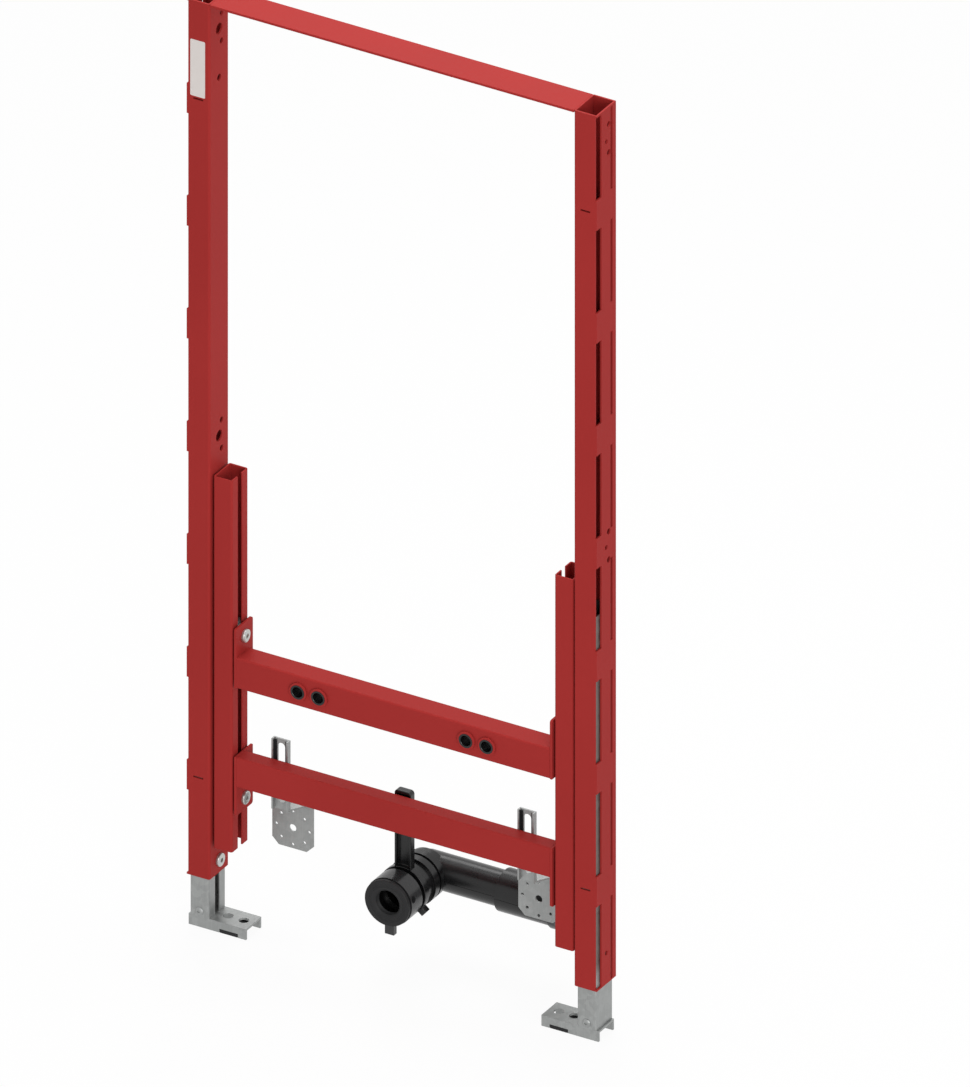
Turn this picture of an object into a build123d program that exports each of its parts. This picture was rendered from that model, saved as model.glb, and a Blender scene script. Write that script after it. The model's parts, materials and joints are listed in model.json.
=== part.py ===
from build123d import *
import os

os.makedirs("parts", exist_ok=True)

# Bidet installation frame, in millimetres. X runs to the right, Y to the back, Z up.
# Depths are measured back from the front faces of the posts, heights from the floor.

# Frame
frame_width = 500.0
frame_height = 1120.0
post_width = 28.0
post_depth = 40.0
post_wall = 2.0
post_corner = 2.5
post_lift = 62.5
top_bar_thickness = 3.0

# Long slots in the outer faces of the posts, wide along the front corner and narrow at the back
corner_slot_count = 8
corner_slot_length = 100.0
corner_slot_width = 10.0
corner_slot_margin = 2.0
rear_slot_width = 4.0
rear_slot_depth = 31.0

# Holes in the posts
access_hole_diameter = 13.0
access_hole_heights = (590.0, 1082.0)
fixing_hole_diameter = 7.0
fixing_hole_rise = 17.0
fixing_hole_setback = 5.0
cable_hole_diameter = 8.0
cable_hole_height = 1023.0
side_hole_diameter = 5.5
side_hole_heights = (100.0, 590.0, 1080.0)
front_slit_length = 12.0
front_slit_height = 2.0
front_slit_heights = (182.5, 1002.0)

# Short slotted rails beside the posts
rail_width = 23.0
rail_depth = 34.0
rail_wall = 2.0
rail_slot = 9.0
rail_corner = 2.5
rail_bottom = 101.0
rail_length = 449.0
rail_gap = 2.5
rail_spacer_side = 16.0
rail_spacer_heights = (140.0, 325.0, 510.0)

# Telescopic feet
foot_clearance = 0.4
foot_wall = 2.0
foot_slot = 9.0
foot_channel_length = 500.0
base_length = 70.0
base_depth = 32.0
base_height = 13.0
base_sheet = 2.5
base_notch_length = 22.5
base_notch_height = 4.5
base_notch_from_end = 10.0
floor_hole_diameter = 11.0
floor_hole_from_end = 12.0
floor_hole_pitch = 19.0
tongue_width = 16.0
tongue_height = 13.0

# Clamp bolts and the nuts that slide in the slotted channels
bolt_diameter = 8.0
bolt_head_diameter = 15.0
bolt_head_height = 3.5
bolt_hole_diameter = 9.0
bolt_overrun = 1.5
nut_thickness = 6.0
nut_width = 22.0
nut_height = 26.0
nut_neck_height = 22.0
nut_neck_play = 0.2
nut_lip_clearance = 0.3
nut_thread_play = 0.1
foot_bolt_rise = 15.5

# Traverses that carry the ceramic and the waste
plate_gap = 2.5
plate_thickness = 3.0
plate_front = 2.5
plate_depth = 35.0
plate_height = 71.0
plate_corner = 3.0
plate_bolt_from_edge = 15.0
beam_wall = 2.0
beam_corner = 2.5
upper_beam_depth = 28.0
upper_beam_height = 37.0
upper_beam_center = 320.0
lower_beam_depth = 20.0
lower_beam_height = 36.0
lower_beam_center = 200.0

# Bushes for the threaded rods that hold the bidet
rod_bore_diameter = 13.0
rod_spacings = (180.0, 230.0)
bush_flange_diameter = 21.0
bush_flange_thickness = 2.5
bush_sleeve_diameter = 17.0
bush_play = 0.1

# Brackets for the two water connections
bracket_spacing = 300.0
bracket_sheet = 2.0
stem_width = 20.0
stem_depth = 6.0
stem_top = 241.0
stem_slot_width = 9.0
stem_slot_margin = 5.0
stem_slot_length = 72.0
ledge_top = 158.0
fitting_plate_depth = 50.0
fitting_plate_width = 50.0
fitting_plate_bottom = 97.5
fitting_plate_chamfer = 8.0
fitting_center_diameter = 8.5
fitting_center_height = 122.0
fitting_ring_diameter = 40.0
fitting_ring_hole_diameter = 3.5
fitting_ring_count = 8

# Waste elbow with its socket, seal, clamp and holder
drain_height = 103.0
pipe_radius = 20.0
pipe_wall = 2.0
outlet_axis_depth = 79.0
inlet_front_depth = -7.0
inlet_socket_radius = 23.0
inlet_socket_bore = 21.0
inlet_socket_end = 20.0
inlet_neck_radius = 21.0
inlet_neck_end = 33.0
inlet_body_radius = 25.0
inlet_body_end = 76.0
collar_radius = 28.0
collar_depths = ((44.0, 53.0), (56.5, 66.0))
outlet_socket_start = 92.0
outlet_socket_end = 165.0
outlet_socket_radius = 24.0
outlet_socket_bore = 20.3
outlet_socket_stop = 105.0
outlet_bead_radius = 26.0
outlet_bead_width = 8.0
seal_front_depth = -11.0
seal_outer_radius = 27.0
seal_bore_radius = 14.0
seal_length = 12.0
seal_play = 0.2
clamp_start = -5.0
clamp_width = 22.0
clamp_wall = 4.5
clamp_play = 0.2
clamp_lug_width = 11.0
clamp_lug_length = 6.0
clamp_lug_reach = 40.0
clamp_hole_radius = 3.5
clamp_hole_setback = 5.0
clamp_hole_rise = 7.0
holder_width = 20.0
holder_wall = 3.5
holder_rib = 2.5
holder_depth = 8.5
holder_top = 222.5
holder_web = 3.5
holder_corner = 4.0
holder_ring_wall = 6.8
holder_ear_angle = 40.0
holder_ear_width = 8.0
holder_ear_reach = 34.0
holder_play = 0.2

# Places that follow from the sizes above
outlet_back_depth = outlet_axis_depth + outlet_bead_radius
post_front = -(seal_front_depth + outlet_back_depth) / 2
post_inner_x = frame_width / 2 - post_width
post_center_x = frame_width / 2 - post_width / 2
post_center_depth = post_depth / 2
post_length = frame_height - post_lift
rail_outer_x = post_inner_x - rail_gap
rail_inner_x = rail_outer_x - rail_width
plate_outer_x = rail_inner_x - plate_gap
plate_inner_x = plate_outer_x - plate_thickness
foot_width = post_width - 2 * post_wall - 2 * foot_clearance
foot_depth = post_depth - 2 * post_wall - 2 * foot_clearance
lower_beam_back = plate_front + lower_beam_depth

LEFT_AND_RIGHT = ((-1, "left"), (1, "right"))
ON_CENTER = (Align.CENTER, Align.CENTER, Align.MIN)
FROM_FRONT = (Align.CENTER, Align.MIN, Align.MIN)


def y_at(depth):
    """Y of a depth behind the front faces of the posts."""
    return post_front + depth


def save(piece, name):
    """Label a finished piece and write it as its own file."""
    piece.part.label = name
    export_step(piece.part, f"parts/{name}.step")


def facing_back(x, depth, height):
    """Plane seen from the front: its normal runs to the back, its x to the right."""
    return Plane(origin=(x, y_at(depth), height), x_dir=(1, 0, 0), z_dir=(0, 1, 0))


def facing_side(side, x, depth, height):
    """Plane across the frame: its normal runs outwards on that side, its y is up."""
    return Plane(origin=(side * x, y_at(depth), height), x_dir=(0, side, 0), z_dir=(side, 0, 0))


# Posts: closed tubes with two rows of long slots in their outer faces
corner_slot_gap = (
    post_length - 2 * corner_slot_margin - corner_slot_count * corner_slot_length
) / (corner_slot_count - 1)
corner_slot_bottoms = [
    post_lift + corner_slot_margin + i * (corner_slot_length + corner_slot_gap)
    for i in range(corner_slot_count)
]
post_slots = ((corner_slot_width / 2, corner_slot_width), (rear_slot_depth, rear_slot_width))

for side, name in LEFT_AND_RIGHT:
    fixing_holes = [
        (side * fixing_hole_setback, height + rise)
        for height in access_hole_heights
        for rise in (-fixing_hole_rise, fixing_hole_rise)
    ]
    with BuildPart() as post:
        with BuildSketch(Plane.XY.offset(post_lift)) as section:
            with Locations((side * post_center_x, y_at(post_center_depth))):
                Rectangle(post_width, post_depth)
            inner_corners = section.vertices().group_by(Axis.X)[0 if side > 0 else -1]
            fillet(inner_corners, post_corner)
            with Locations((side * post_center_x, y_at(post_center_depth))):
                Rectangle(
                    post_width - 2 * post_wall, post_depth - 2 * post_wall, mode=Mode.SUBTRACT
                )
        extrude(amount=post_length)
        slot_x = side * (frame_width / 2 - post_wall / 2)
        for depth, width in post_slots:
            with Locations(
                [
                    (slot_x, y_at(depth), bottom + corner_slot_length / 2)
                    for bottom in corner_slot_bottoms
                ]
            ):
                Box(post_wall, width, corner_slot_length, mode=Mode.SUBTRACT)
        with BuildSketch(facing_side(side, post_inner_x, post_center_depth, 0)):
            with Locations([(0, height) for height in access_hole_heights]):
                Circle(access_hole_diameter / 2)
            with Locations(fixing_holes):
                Circle(fixing_hole_diameter / 2)
            with Locations((0, cable_hole_height)):
                Circle(cable_hole_diameter / 2)
            with Locations((0, post_lift + foot_bolt_rise)):
                Circle(bolt_hole_diameter / 2)
        extrude(amount=post_wall, mode=Mode.SUBTRACT)
        with BuildSketch(facing_side(side, frame_width / 2 - post_wall, post_center_depth, 0)):
            with Locations([(0, height) for height in side_hole_heights]):
                Circle(side_hole_diameter / 2)
            with Locations(fixing_holes):
                Circle(fixing_hole_diameter / 2)
        extrude(amount=post_wall, mode=Mode.SUBTRACT)
        with BuildSketch(facing_back(side * post_center_x, 0, 0)):
            with Locations([(0, -height) for height in front_slit_heights]):
                Rectangle(front_slit_length, front_slit_height)
        extrude(amount=post_wall, mode=Mode.SUBTRACT)
    save(post, f"{name}_post")


# Top bar: flat strip welded between the posts, flush with their tops
with BuildPart() as top_bar:
    with BuildSketch(Plane.XY.offset(frame_height)):
        with Locations((0, y_at(post_center_depth))):
            Rectangle(2 * post_inner_x, post_depth)
    extrude(amount=-top_bar_thickness)
save(top_bar, "top_bar")


def channel_section(side, inner_x, width, depth, wall, corner, slot, bottom):
    """Section of a thin sheet channel with a slot in the face that looks to the middle."""
    with BuildSketch(Plane.XY.offset(bottom)) as section:
        with Locations((side * (inner_x + width / 2), y_at(post_center_depth))):
            RectangleRounded(width, depth, corner)
            Rectangle(width - 2 * wall, depth - 2 * wall, mode=Mode.SUBTRACT)
        with Locations((side * (inner_x + wall / 2), y_at(post_center_depth))):
            Rectangle(wall, slot, mode=Mode.SUBTRACT)
    return section.sketch


# Rails, held off the posts by square spacers
for side, name in LEFT_AND_RIGHT:
    rail_section = channel_section(
        side, rail_inner_x, rail_width, rail_depth, rail_wall, rail_corner, rail_slot, rail_bottom
    )
    with BuildPart() as rail:
        extrude(rail_section, amount=rail_length)
    save(rail, f"{name}_rail")

with BuildPart() as rail_spacers:
    with Locations(
        [
            (side * (rail_outer_x + rail_gap / 2), y_at(post_center_depth), height)
            for side, _ in LEFT_AND_RIGHT
            for height in rail_spacer_heights
        ]
    ):
        Box(rail_gap, rail_spacer_side, rail_spacer_side)
save(rail_spacers, "rail_spacers")


# Feet: a channel that slides in the post and grips two tongues of a folded base
foot_inner_x = post_center_x - foot_width / 2
base_inner_x = frame_width / 2 - base_length
base_center_x = frame_width / 2 - base_length / 2
tongue_offset = foot_depth / 2 - foot_wall - base_sheet / 2

for side, name in LEFT_AND_RIGHT:
    foot_section = channel_section(
        side, foot_inner_x, foot_width, foot_depth, foot_wall, post_corner, foot_slot, base_height
    )
    with BuildPart() as foot_channel:
        extrude(foot_section, amount=foot_channel_length)
    save(foot_channel, f"{name}_foot_channel")

    with BuildPart() as foot_base:
        with Locations((side * base_center_x, y_at(post_center_depth), 0)):
            Box(base_length, base_depth, base_height, align=ON_CENTER)
            Box(
                base_length,
                base_depth - 2 * base_sheet,
                base_height - base_sheet,
                align=ON_CENTER,
                mode=Mode.SUBTRACT,
            )
        notch_x = base_inner_x + base_notch_from_end + base_notch_length / 2
        with Locations((side * notch_x, y_at(post_center_depth), 0)):
            Box(
                base_notch_length,
                base_depth,
                base_notch_height,
                align=ON_CENTER,
                mode=Mode.SUBTRACT,
            )
        floor_hole_xs = [
            side * (base_inner_x + floor_hole_from_end + i * floor_hole_pitch) for i in (0, 1)
        ]
        with BuildSketch(Plane.XY.offset(base_height)):
            with Locations([(x, y_at(post_center_depth)) for x in floor_hole_xs]):
                Circle(floor_hole_diameter / 2)
        extrude(amount=-base_sheet, mode=Mode.SUBTRACT)
        with Locations(
            [
                (side * post_center_x, y_at(post_center_depth + offset), base_height)
                for offset in (-tongue_offset, tongue_offset)
            ]
        ):
            Box(tongue_width, base_sheet, tongue_height, align=ON_CENTER)
    save(foot_base, f"{name}_foot_base")


def clamp_bolts(seat_x, height, grip):
    """Pair of flat-headed bolts, the heads on the inner side of a sheet and the shanks running outwards."""
    with BuildPart() as bolts:
        for side, _ in LEFT_AND_RIGHT:
            with BuildSketch(facing_side(side, seat_x, post_center_depth, height)):
                Circle(bolt_head_diameter / 2)
            extrude(amount=-bolt_head_height)
            with BuildSketch(facing_side(side, seat_x, post_center_depth, height)):
                Circle(bolt_diameter / 2)
            extrude(amount=grip + bolt_overrun)
    return bolts


def channel_nuts(neck_x, lip_x, slot, height):
    """Pair of nuts behind the lips of slotted channels, each with a neck that runs in the slot."""
    back_x = lip_x + nut_lip_clearance
    with BuildPart() as nuts:
        for side, _ in LEFT_AND_RIGHT:
            with BuildSketch(facing_side(side, neck_x, post_center_depth, height)):
                Rectangle(slot - 2 * nut_neck_play, nut_neck_height)
            extrude(amount=back_x - neck_x)
            with BuildSketch(facing_side(side, back_x, post_center_depth, height)):
                Rectangle(nut_width, nut_height)
            extrude(amount=nut_thickness)
            with BuildSketch(facing_side(side, neck_x, post_center_depth, height)):
                Circle(bolt_diameter / 2 + nut_thread_play)
            extrude(amount=back_x + nut_thickness - neck_x, mode=Mode.SUBTRACT)
    return nuts


# Clamp bolts that hold the feet in the posts
foot_lip_x = foot_inner_x + foot_wall
foot_bolt_height = post_lift + foot_bolt_rise
foot_bolt_grip = foot_lip_x + nut_lip_clearance + nut_thickness - post_inner_x

save(clamp_bolts(post_inner_x, foot_bolt_height, foot_bolt_grip), "foot_bolts")
save(channel_nuts(post_inner_x + post_wall, foot_lip_x, foot_slot, foot_bolt_height), "foot_nuts")


# Traverses: a tube between two end plates, each plate clamped to its rail by one bolt
def beam_section(depth, height, center):
    """Section of a closed tube at the left end plate."""
    with BuildSketch(facing_side(1, -plate_inner_x, plate_front + depth / 2, center)) as section:
        RectangleRounded(depth, height, beam_corner)
        Rectangle(depth - 2 * beam_wall, height - 2 * beam_wall, mode=Mode.SUBTRACT)
    return section.sketch


def end_plate(side, bottom, bolt_height):
    """Flat plate across the end of a traverse, rounded beside the hole for its clamp bolt."""
    middle = bottom + plate_height / 2
    with BuildPart() as plate:
        with BuildSketch(
            facing_side(side, plate_inner_x, plate_front + plate_depth / 2, middle)
        ) as outline:
            Rectangle(plate_depth, plate_height)
            free_end = -1 if bolt_height > middle else 0
            fillet(outline.vertices().group_by(Axis.Y)[free_end], plate_corner)
        extrude(amount=plate_thickness)
        with BuildSketch(facing_side(side, plate_inner_x, post_center_depth, bolt_height)):
            Circle(bolt_hole_diameter / 2)
        extrude(amount=plate_thickness, mode=Mode.SUBTRACT)
    return plate


rail_lip_x = rail_inner_x + rail_wall
plate_bolt_grip = rail_lip_x + nut_lip_clearance + nut_thickness - plate_inner_x


def traverse_ends(traverse, plate_bottom, bolt_height):
    """End plates, clamp bolts and sliding nuts of one traverse."""
    for side, name in LEFT_AND_RIGHT:
        save(end_plate(side, plate_bottom, bolt_height), f"{traverse}_{name}_plate")
    save(clamp_bolts(plate_inner_x, bolt_height, plate_bolt_grip), f"{traverse}_bolts")
    save(channel_nuts(plate_outer_x, rail_lip_x, rail_slot, bolt_height), f"{traverse}_nuts")


upper_beam_bottom = upper_beam_center - upper_beam_height / 2
upper_bolt_height = upper_beam_bottom + plate_height - plate_bolt_from_edge
lower_beam_top = lower_beam_center + lower_beam_height / 2
lower_plate_bottom = lower_beam_top - plate_height
lower_bolt_height = lower_plate_bottom + plate_bolt_from_edge

rod_places = [(side * spacing / 2, 0) for side, _ in LEFT_AND_RIGHT for spacing in rod_spacings]

with BuildPart() as upper_beam:
    extrude(
        beam_section(upper_beam_depth, upper_beam_height, upper_beam_center),
        amount=2 * plate_inner_x,
    )
    with BuildSketch(facing_back(0, plate_front, upper_beam_center)):
        with Locations(rod_places):
            Circle(bush_sleeve_diameter / 2 + bush_play)
    extrude(amount=upper_beam_depth, mode=Mode.SUBTRACT)
save(upper_beam, "upper_beam")
traverse_ends("upper", upper_beam_bottom, upper_bolt_height)

with BuildPart() as lower_beam:
    extrude(
        beam_section(lower_beam_depth, lower_beam_height, lower_beam_center),
        amount=2 * plate_inner_x,
    )
save(lower_beam, "lower_beam")
traverse_ends("lower", lower_plate_bottom, lower_bolt_height)


# Flanged bushes through the upper traverse, two a side
with BuildPart() as rod_bushes:
    with BuildSketch(facing_back(0, plate_front, upper_beam_center)):
        with Locations(rod_places):
            Circle(bush_flange_diameter / 2)
    extrude(amount=-bush_flange_thickness)
    with BuildSketch(facing_back(0, plate_front, upper_beam_center)):
        with Locations(rod_places):
            Circle(bush_sleeve_diameter / 2)
    extrude(amount=upper_beam_depth)
    with BuildSketch(facing_back(0, plate_front - bush_flange_thickness, upper_beam_center)):
        with Locations(rod_places):
            Circle(rod_bore_diameter / 2)
    extrude(amount=bush_flange_thickness + upper_beam_depth, mode=Mode.SUBTRACT)
save(rod_bushes, "rod_bushes")


# Water brackets: a slotted stem behind the lower traverse, a ledge that widens and a perforated plate
stem_slot_top = stem_top - stem_slot_margin
stem_back_depth = lower_beam_back + stem_depth
fitting_plate_height = ledge_top - fitting_plate_bottom
fitting_plate_center = (ledge_top + fitting_plate_bottom) / 2

for side, name in LEFT_AND_RIGHT:
    bracket_x = side * bracket_spacing / 2
    with BuildPart() as water_bracket:
        with BuildSketch(Plane.XY.offset(ledge_top - bracket_sheet)):
            with Locations((bracket_x, y_at(lower_beam_back + stem_depth / 2))):
                Rectangle(stem_width, stem_depth)
            with Locations((bracket_x, y_at(lower_beam_back + (stem_depth - bracket_sheet) / 2))):
                Rectangle(
                    stem_width - 2 * bracket_sheet, stem_depth - bracket_sheet, mode=Mode.SUBTRACT
                )
        extrude(amount=stem_top - ledge_top + bracket_sheet)
        with BuildSketch(facing_back(bracket_x, lower_beam_back, stem_slot_top - stem_slot_length / 2)):
            SlotOverall(stem_slot_length, stem_slot_width, rotation=90)
        extrude(amount=stem_depth, mode=Mode.SUBTRACT)
        ledge_front = stem_back_depth - bracket_sheet
        with BuildSketch(Plane.XY.offset(ledge_top)):
            with BuildLine():
                Polyline(
                    (bracket_x - stem_width / 2, y_at(ledge_front)),
                    (bracket_x + stem_width / 2, y_at(ledge_front)),
                    (bracket_x + fitting_plate_width / 2, y_at(fitting_plate_depth)),
                    (bracket_x - fitting_plate_width / 2, y_at(fitting_plate_depth)),
                    close=True,
                )
            make_face()
        extrude(amount=-bracket_sheet)
        with BuildSketch(facing_back(bracket_x, fitting_plate_depth, fitting_plate_center)) as face:
            Rectangle(fitting_plate_width, fitting_plate_height)
            chamfer(face.vertices().group_by(Axis.Y)[-1], fitting_plate_chamfer)
            with Locations((0, fitting_plate_center - fitting_center_height)):
                Circle(fitting_center_diameter / 2, mode=Mode.SUBTRACT)
                with PolarLocations(fitting_ring_diameter / 2, fitting_ring_count):
                    Circle(fitting_ring_hole_diameter / 2, mode=Mode.SUBTRACT)
        extrude(amount=bracket_sheet)
    save(water_bracket, f"{name}_water_bracket")


# Waste elbow: turned inlet with two collars, a tight round knee and a socket for the outlet pipe
pipe_bore = pipe_radius - pipe_wall
inlet_axis = Axis((0, 0, drain_height), (0, 1, 0))
turning_plane = Plane(origin=(0, y_at(0), drain_height), x_dir=(1, 0, 0), z_dir=(0, 0, 1))


def outlet_plane(x):
    """Plane across the outlet pipe, its normal along the pipe to the right."""
    return Plane(origin=(x, y_at(outlet_axis_depth), drain_height), x_dir=(0, 1, 0), z_dir=(1, 0, 0))


with BuildPart() as drain_elbow:
    with BuildSketch(turning_plane):
        with BuildLine():
            Polyline(
                (0, inlet_front_depth),
                (inlet_socket_radius, inlet_front_depth),
                (inlet_socket_radius, inlet_socket_end),
                (inlet_neck_radius, inlet_socket_end),
                (inlet_neck_radius, inlet_neck_end),
                (inlet_body_radius, inlet_neck_end),
                (inlet_body_radius, inlet_body_end),
                (pipe_radius, inlet_body_end),
                (pipe_radius, outlet_axis_depth),
                (0, outlet_axis_depth),
                close=True,
            )
        make_face()
    revolve(axis=inlet_axis)
    for start, end in collar_depths:
        with BuildSketch(facing_back(0, start, drain_height)):
            Circle(collar_radius)
        extrude(amount=end - start)
    with Locations((0, y_at(outlet_axis_depth), drain_height)):
        Sphere(pipe_radius)
    with BuildSketch(outlet_plane(0)):
        Circle(pipe_radius)
    extrude(amount=outlet_socket_start)
    with BuildSketch(outlet_plane(outlet_socket_start)):
        Circle(outlet_socket_radius)
    extrude(amount=outlet_socket_end - outlet_socket_start)
    with BuildSketch(outlet_plane(outlet_socket_end - outlet_bead_width)):
        Circle(outlet_bead_radius)
    extrude(amount=outlet_bead_width)
    with Locations((0, y_at(outlet_axis_depth), drain_height)):
        Sphere(pipe_bore, mode=Mode.SUBTRACT)
    with BuildSketch(outlet_plane(0)):
        Circle(pipe_bore)
    extrude(amount=outlet_socket_stop, mode=Mode.SUBTRACT)
    with BuildSketch(outlet_plane(outlet_socket_stop)):
        Circle(outlet_socket_bore)
    extrude(amount=outlet_socket_end - outlet_socket_stop, mode=Mode.SUBTRACT)
    with BuildSketch(facing_back(0, inlet_front_depth, drain_height)):
        Circle(inlet_socket_bore)
    extrude(amount=inlet_socket_end - pipe_wall - inlet_front_depth, mode=Mode.SUBTRACT)
    with BuildSketch(facing_back(0, inlet_front_depth, drain_height)):
        Circle(pipe_bore)
    extrude(amount=outlet_axis_depth - inlet_front_depth, mode=Mode.SUBTRACT)
save(drain_elbow, "drain_elbow")

# Rubber seal: a flange against the socket and a sleeve inside it
sleeve_radius = inlet_socket_bore - seal_play
with BuildPart() as drain_seal:
    with BuildSketch(turning_plane):
        with BuildLine():
            Polyline(
                (seal_bore_radius, seal_front_depth),
                (seal_outer_radius, seal_front_depth),
                (seal_outer_radius, inlet_front_depth),
                (sleeve_radius, inlet_front_depth),
                (sleeve_radius, seal_front_depth + seal_length),
                (seal_bore_radius, seal_front_depth + seal_length),
                close=True,
            )
        make_face()
    revolve(axis=inlet_axis)
save(drain_seal, "drain_seal")

# Clamp: ring round the socket with a lug below and a screw hole in its right side
clamp_bore = inlet_socket_radius + clamp_play
clamp_radius = clamp_bore + clamp_wall
clamp_hole_depth = clamp_start + clamp_hole_setback
clamp_hole_height = drain_height + clamp_hole_rise
with BuildPart() as drain_clamp:
    with BuildSketch(facing_back(0, clamp_start, drain_height)):
        Circle(clamp_radius)
    extrude(amount=clamp_width)
    with Locations((0, y_at(clamp_start), drain_height - clamp_lug_reach)):
        Box(clamp_lug_width, clamp_lug_length, clamp_lug_reach, align=FROM_FRONT)
    with BuildSketch(facing_side(1, 0, clamp_hole_depth, clamp_hole_height)):
        Circle(clamp_hole_radius)
    extrude(amount=clamp_radius, mode=Mode.SUBTRACT)
    with BuildSketch(facing_back(0, clamp_start, drain_height)):
        Circle(clamp_bore)
    extrude(amount=clamp_width, mode=Mode.SUBTRACT)
save(drain_clamp, "drain_clamp")

# Holder: ribbed strap behind the lower traverse with an eared ring round the neck of the elbow
holder_bore = inlet_neck_radius + holder_play
holder_length = holder_top - drain_height
with BuildPart() as drain_holder:
    with BuildSketch(facing_back(0, lower_beam_back, drain_height + holder_length / 2)) as strap:
        Rectangle(holder_width, holder_length)
        fillet(strap.vertices().group_by(Axis.Y)[0], holder_corner)
    extrude(amount=holder_depth)
    with Locations((0, y_at(lower_beam_back), drain_height)):
        Box(
            holder_width - 2 * holder_rib,
            holder_depth - holder_wall,
            holder_length - holder_web,
            align=FROM_FRONT,
            mode=Mode.SUBTRACT,
        )
    with BuildSketch(facing_back(0, lower_beam_back, drain_height)):
        Circle(holder_bore + holder_ring_wall)
        for angle in (holder_ear_angle, 180 - holder_ear_angle):
            with PolarLocations((holder_bore + holder_ear_reach) / 2, 1, start_angle=angle):
                Rectangle(holder_ear_reach - holder_bore, holder_ear_width)
    extrude(amount=holder_depth)
    with BuildSketch(facing_back(0, lower_beam_back, drain_height)):
        Circle(holder_bore)
    extrude(amount=holder_depth, mode=Mode.SUBTRACT)
save(drain_holder, "drain_holder")
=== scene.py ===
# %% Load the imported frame
import json
import math

import bmesh
import bpy
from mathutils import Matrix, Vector


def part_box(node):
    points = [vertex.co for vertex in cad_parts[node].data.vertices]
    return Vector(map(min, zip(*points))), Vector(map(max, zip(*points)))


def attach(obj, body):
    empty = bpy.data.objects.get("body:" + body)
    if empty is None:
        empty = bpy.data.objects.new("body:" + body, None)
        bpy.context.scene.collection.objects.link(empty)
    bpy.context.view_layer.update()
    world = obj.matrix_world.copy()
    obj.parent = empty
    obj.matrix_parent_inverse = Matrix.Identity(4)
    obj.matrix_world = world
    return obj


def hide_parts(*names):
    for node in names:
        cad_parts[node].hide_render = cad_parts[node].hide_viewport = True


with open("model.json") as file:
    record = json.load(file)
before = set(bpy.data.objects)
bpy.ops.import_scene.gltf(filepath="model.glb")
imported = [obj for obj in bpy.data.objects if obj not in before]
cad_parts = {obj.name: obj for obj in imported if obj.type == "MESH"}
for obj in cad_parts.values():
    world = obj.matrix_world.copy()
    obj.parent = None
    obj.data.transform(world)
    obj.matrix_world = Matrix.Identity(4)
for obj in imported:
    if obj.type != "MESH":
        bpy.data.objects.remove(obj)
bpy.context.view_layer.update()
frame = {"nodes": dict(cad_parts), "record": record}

nodes = frame["nodes"]

# %% [markdown]
# ## The object and its measures
# A bidet installation frame stands in a dry wall: two red posts on zinc feet, a top bar, and two
# traverses that slide on short rails. The upper traverse carries the rods of the bidet, the lower
# one the water plates and the waste elbow. Every rigid piece comes from the CAD frame in its true
# size, so this lesson dresses those pieces and adds what is too small for the solids. Blender works
# in metres, so a millimetre gets a name and small sizes stay readable.

# %% Millimetres and the middle of a node
MM = 0.001
SIDES = (("left", -1), ("right", 1))


def middle(node):
    """Centre of a CAD node's box at rest."""
    low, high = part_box(node)
    return (low + high) / 2


post_front_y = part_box("left_post")[0].y
print("posts' front plane at y =", round(post_front_y / MM, 1), "mm")

# %% [markdown]
# ## Shader sums written as Python
# A finish is mostly arithmetic: some noise, scaled, added to a base value. Node by node that is
# hard to read, so one small class wraps an output socket. Adding or multiplying two wires adds a
# Math node, and the reflected forms let a plain number stand on the left. Every other node comes
# from the one method `node`, which sets the settings first and then fills or links the sockets.

# %% One class for sockets
class Wire:
    """An output socket that can be used in sums; without a socket it only starts a tree."""

    def __init__(self, tree, socket=None):
        self.tree = tree
        self.socket = socket

    def node(self, kind, settings=None, inputs=None, out=0):
        """Add a node: settings first, then the values or links of its sockets."""
        made = self.tree.nodes.new(kind)
        for name, value in (settings or {}).items():
            if name == "stops":
                ramp = made.color_ramp.elements
                while len(ramp) < len(value):
                    ramp.new(1.0)
                for stop, (place, shade) in zip(ramp, value):
                    stop.position = place
                    stop.color = (shade, shade, shade, 1.0)
            else:
                setattr(made, name, value)
        for key, value in (inputs or {}).items():
            if isinstance(value, Wire):
                self.tree.links.new(value.socket, made.inputs[key])
            else:
                made.inputs[key].default_value = value
        return Wire(self.tree, made.outputs[out] if len(made.outputs) else None)

    def sum(self, operation, first, second):
        return self.node("ShaderNodeMath", {"operation": operation}, {0: first, 1: second})

    def __add__(self, other):
        return self.sum("ADD", self, other)

    def __radd__(self, other):
        return self.sum("ADD", other, self)

    def __sub__(self, other):
        return self.sum("SUBTRACT", self, other)

    def __rsub__(self, other):
        return self.sum("SUBTRACT", other, self)

    def __mul__(self, other):
        return self.sum("MULTIPLY", self, other)

    def __rmul__(self, other):
        return self.sum("MULTIPLY", other, self)


print("Wire: sums on sockets are ready")

# %% [markdown]
# ## Tools that every finish shares
# All pieces of this part sit at the origin with their places in their meshes, so Object
# coordinates are metres in the room. A noise of scale 1000 therefore has features of about a
# millimetre on every piece, large or small, and nothing needs an unwrapped surface.

# %% Starting, mixing and closing a finish
def linear(red, green, blue):
    """Colour as the renderer wants it, from the 0 to 255 values a screen shows."""
    def channel(value):
        share = value / 255
        return share / 12.92 if share <= 0.04045 else ((share + 0.055) / 1.055) ** 2.4
    return (channel(red), channel(green), channel(blue), 1.0)


def new_finish(name):
    """Empty material, with a wire that carries places in metres."""
    material = bpy.data.materials.new(name)
    material.use_nodes = True
    material.node_tree.nodes.clear()
    return material, Wire(material.node_tree).node("ShaderNodeTexCoord", out="Object")


def noise(place, scale, detail=2.0):
    """Grey clouds, `scale` of them a metre."""
    inputs = {"Vector": place, "Scale": scale, "Detail": detail}
    return place.node("ShaderNodeTexNoise", {}, inputs)


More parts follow.
